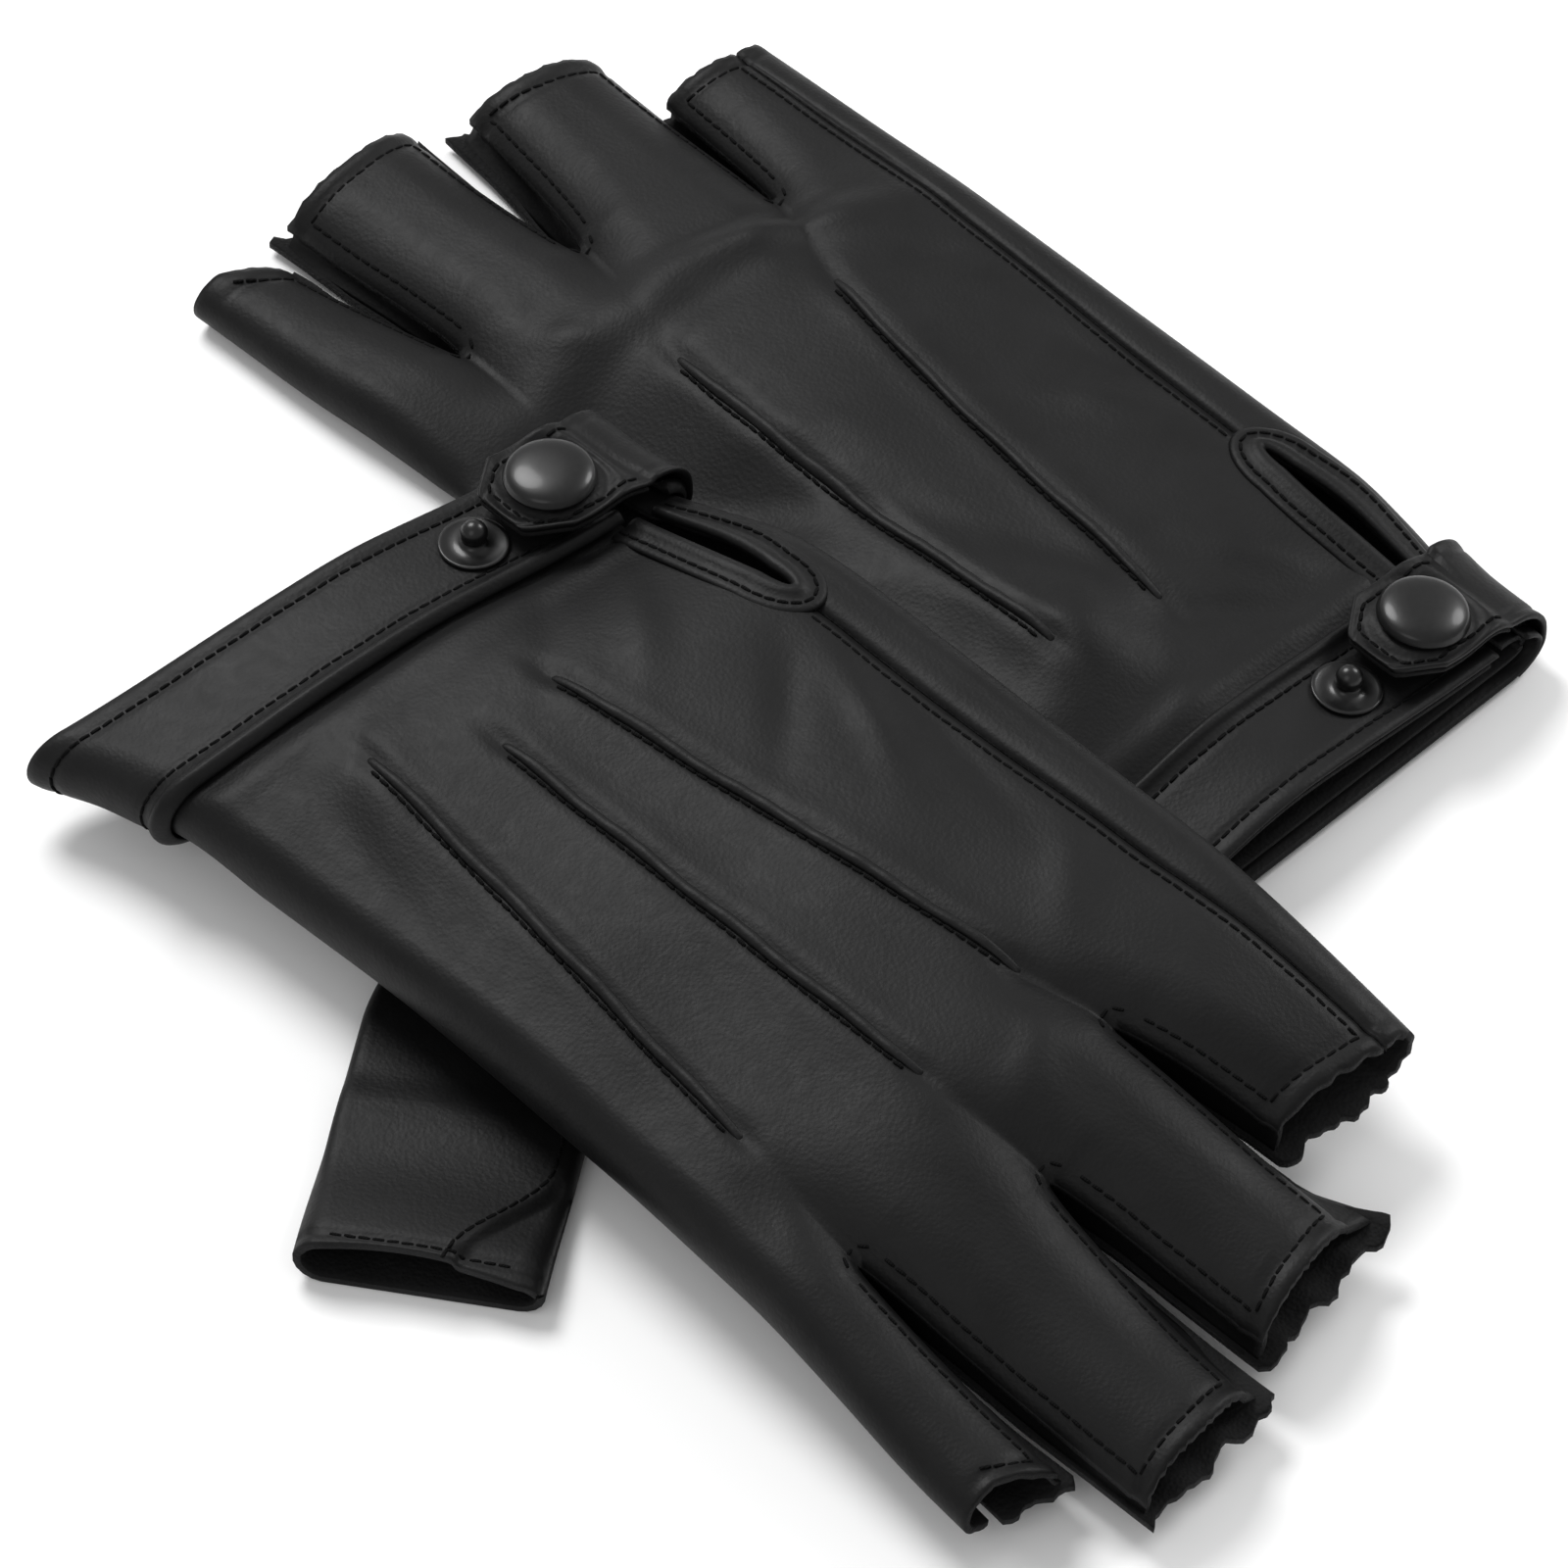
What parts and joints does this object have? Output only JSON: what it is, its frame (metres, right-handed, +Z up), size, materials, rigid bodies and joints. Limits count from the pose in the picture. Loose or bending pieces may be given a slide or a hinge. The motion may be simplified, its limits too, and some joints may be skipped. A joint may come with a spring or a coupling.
{
  "type": "pair of fingerless gloves",
  "caption": "Pair of black leather half-finger gloves with pinched tucks on the back and a bound wrist slit closed by a snap tab, laid palm down and overlapping.",
  "frame": {"origin": "centre of the pair's footprint, on the surface it lies on", "axes": "+X from cuff to fingers of the left glove, and from fingers to cuff of the right glove; +Y towards the little-finger sides of both gloves; +Z up"},
  "size_m": [0.233, 0.1872, 0.0284],
  "materials": {
    "glove_leather": "semi-matte fine-grained smooth leather, black",
    "lining_leather": "matte flesh side of black leather",
    "snap_metal": "gloss black enamel"
  },
  "bodies": {
    "right_glove": {"right_back_panel": "glove_leather", "right_palm_panel": "glove_leather", "right_fourchette_little_ring": "glove_leather", "right_fourchette_ring_middle": "glove_leather", "right_fourchette_middle_index": "glove_leather", "right_thumb": "glove_leather", "right_cuff_band": "glove_leather", "right_vent_binding": "glove_leather", "right_cuff_facing": "lining_leather", "right_stud_inner": "snap_metal", "right_stud_rivet_inner": "snap_metal", "right_stud_outer": "snap_metal", "right_stud_rivet_outer": "snap_metal"},
    "right_tab": {"right_closing_tab": "glove_leather", "right_tab_lining": "lining_leather", "right_snap_cap": "snap_metal", "right_snap_socket": "snap_metal"},
    "left_glove": {"left_back_panel": "glove_leather", "left_palm_panel": "glove_leather", "left_fourchette_little_ring": "glove_leather", "left_fourchette_ring_middle": "glove_leather", "left_fourchette_middle_index": "glove_leather", "left_thumb": "glove_leather", "left_cuff_band": "glove_leather", "left_vent_binding": "glove_leather", "left_cuff_facing": "lining_leather", "left_stud_inner": "snap_metal", "left_stud_rivet_inner": "snap_metal", "left_stud_outer": "snap_metal", "left_stud_rivet_outer": "snap_metal"},
    "left_tab": {"left_closing_tab": "glove_leather", "left_tab_lining": "lining_leather", "left_snap_cap": "snap_metal", "left_snap_socket": "snap_metal"}
  },
  "joints": [
    {"name": "right_tab_fold", "type": "hinge", "parent": "right_glove", "child": "right_tab", "pos_m": [0.0462, 0.0853, 0.0115], "axis": [-1, 0, 0], "range_deg": [0, 150]},
    {"name": "left_glove_lift", "type": "slide", "parent": "right_glove", "child": "left_glove", "axis": [0, 0, 1], "range_m": [0, 0.08]},
    {"name": "left_tab_fold", "type": "hinge", "parent": "left_glove", "child": "left_tab", "pos_m": [-0.0415, 0.0138, 0.0229], "axis": [-1, 0, 0], "range_deg": [0, 150]}
  ]
}
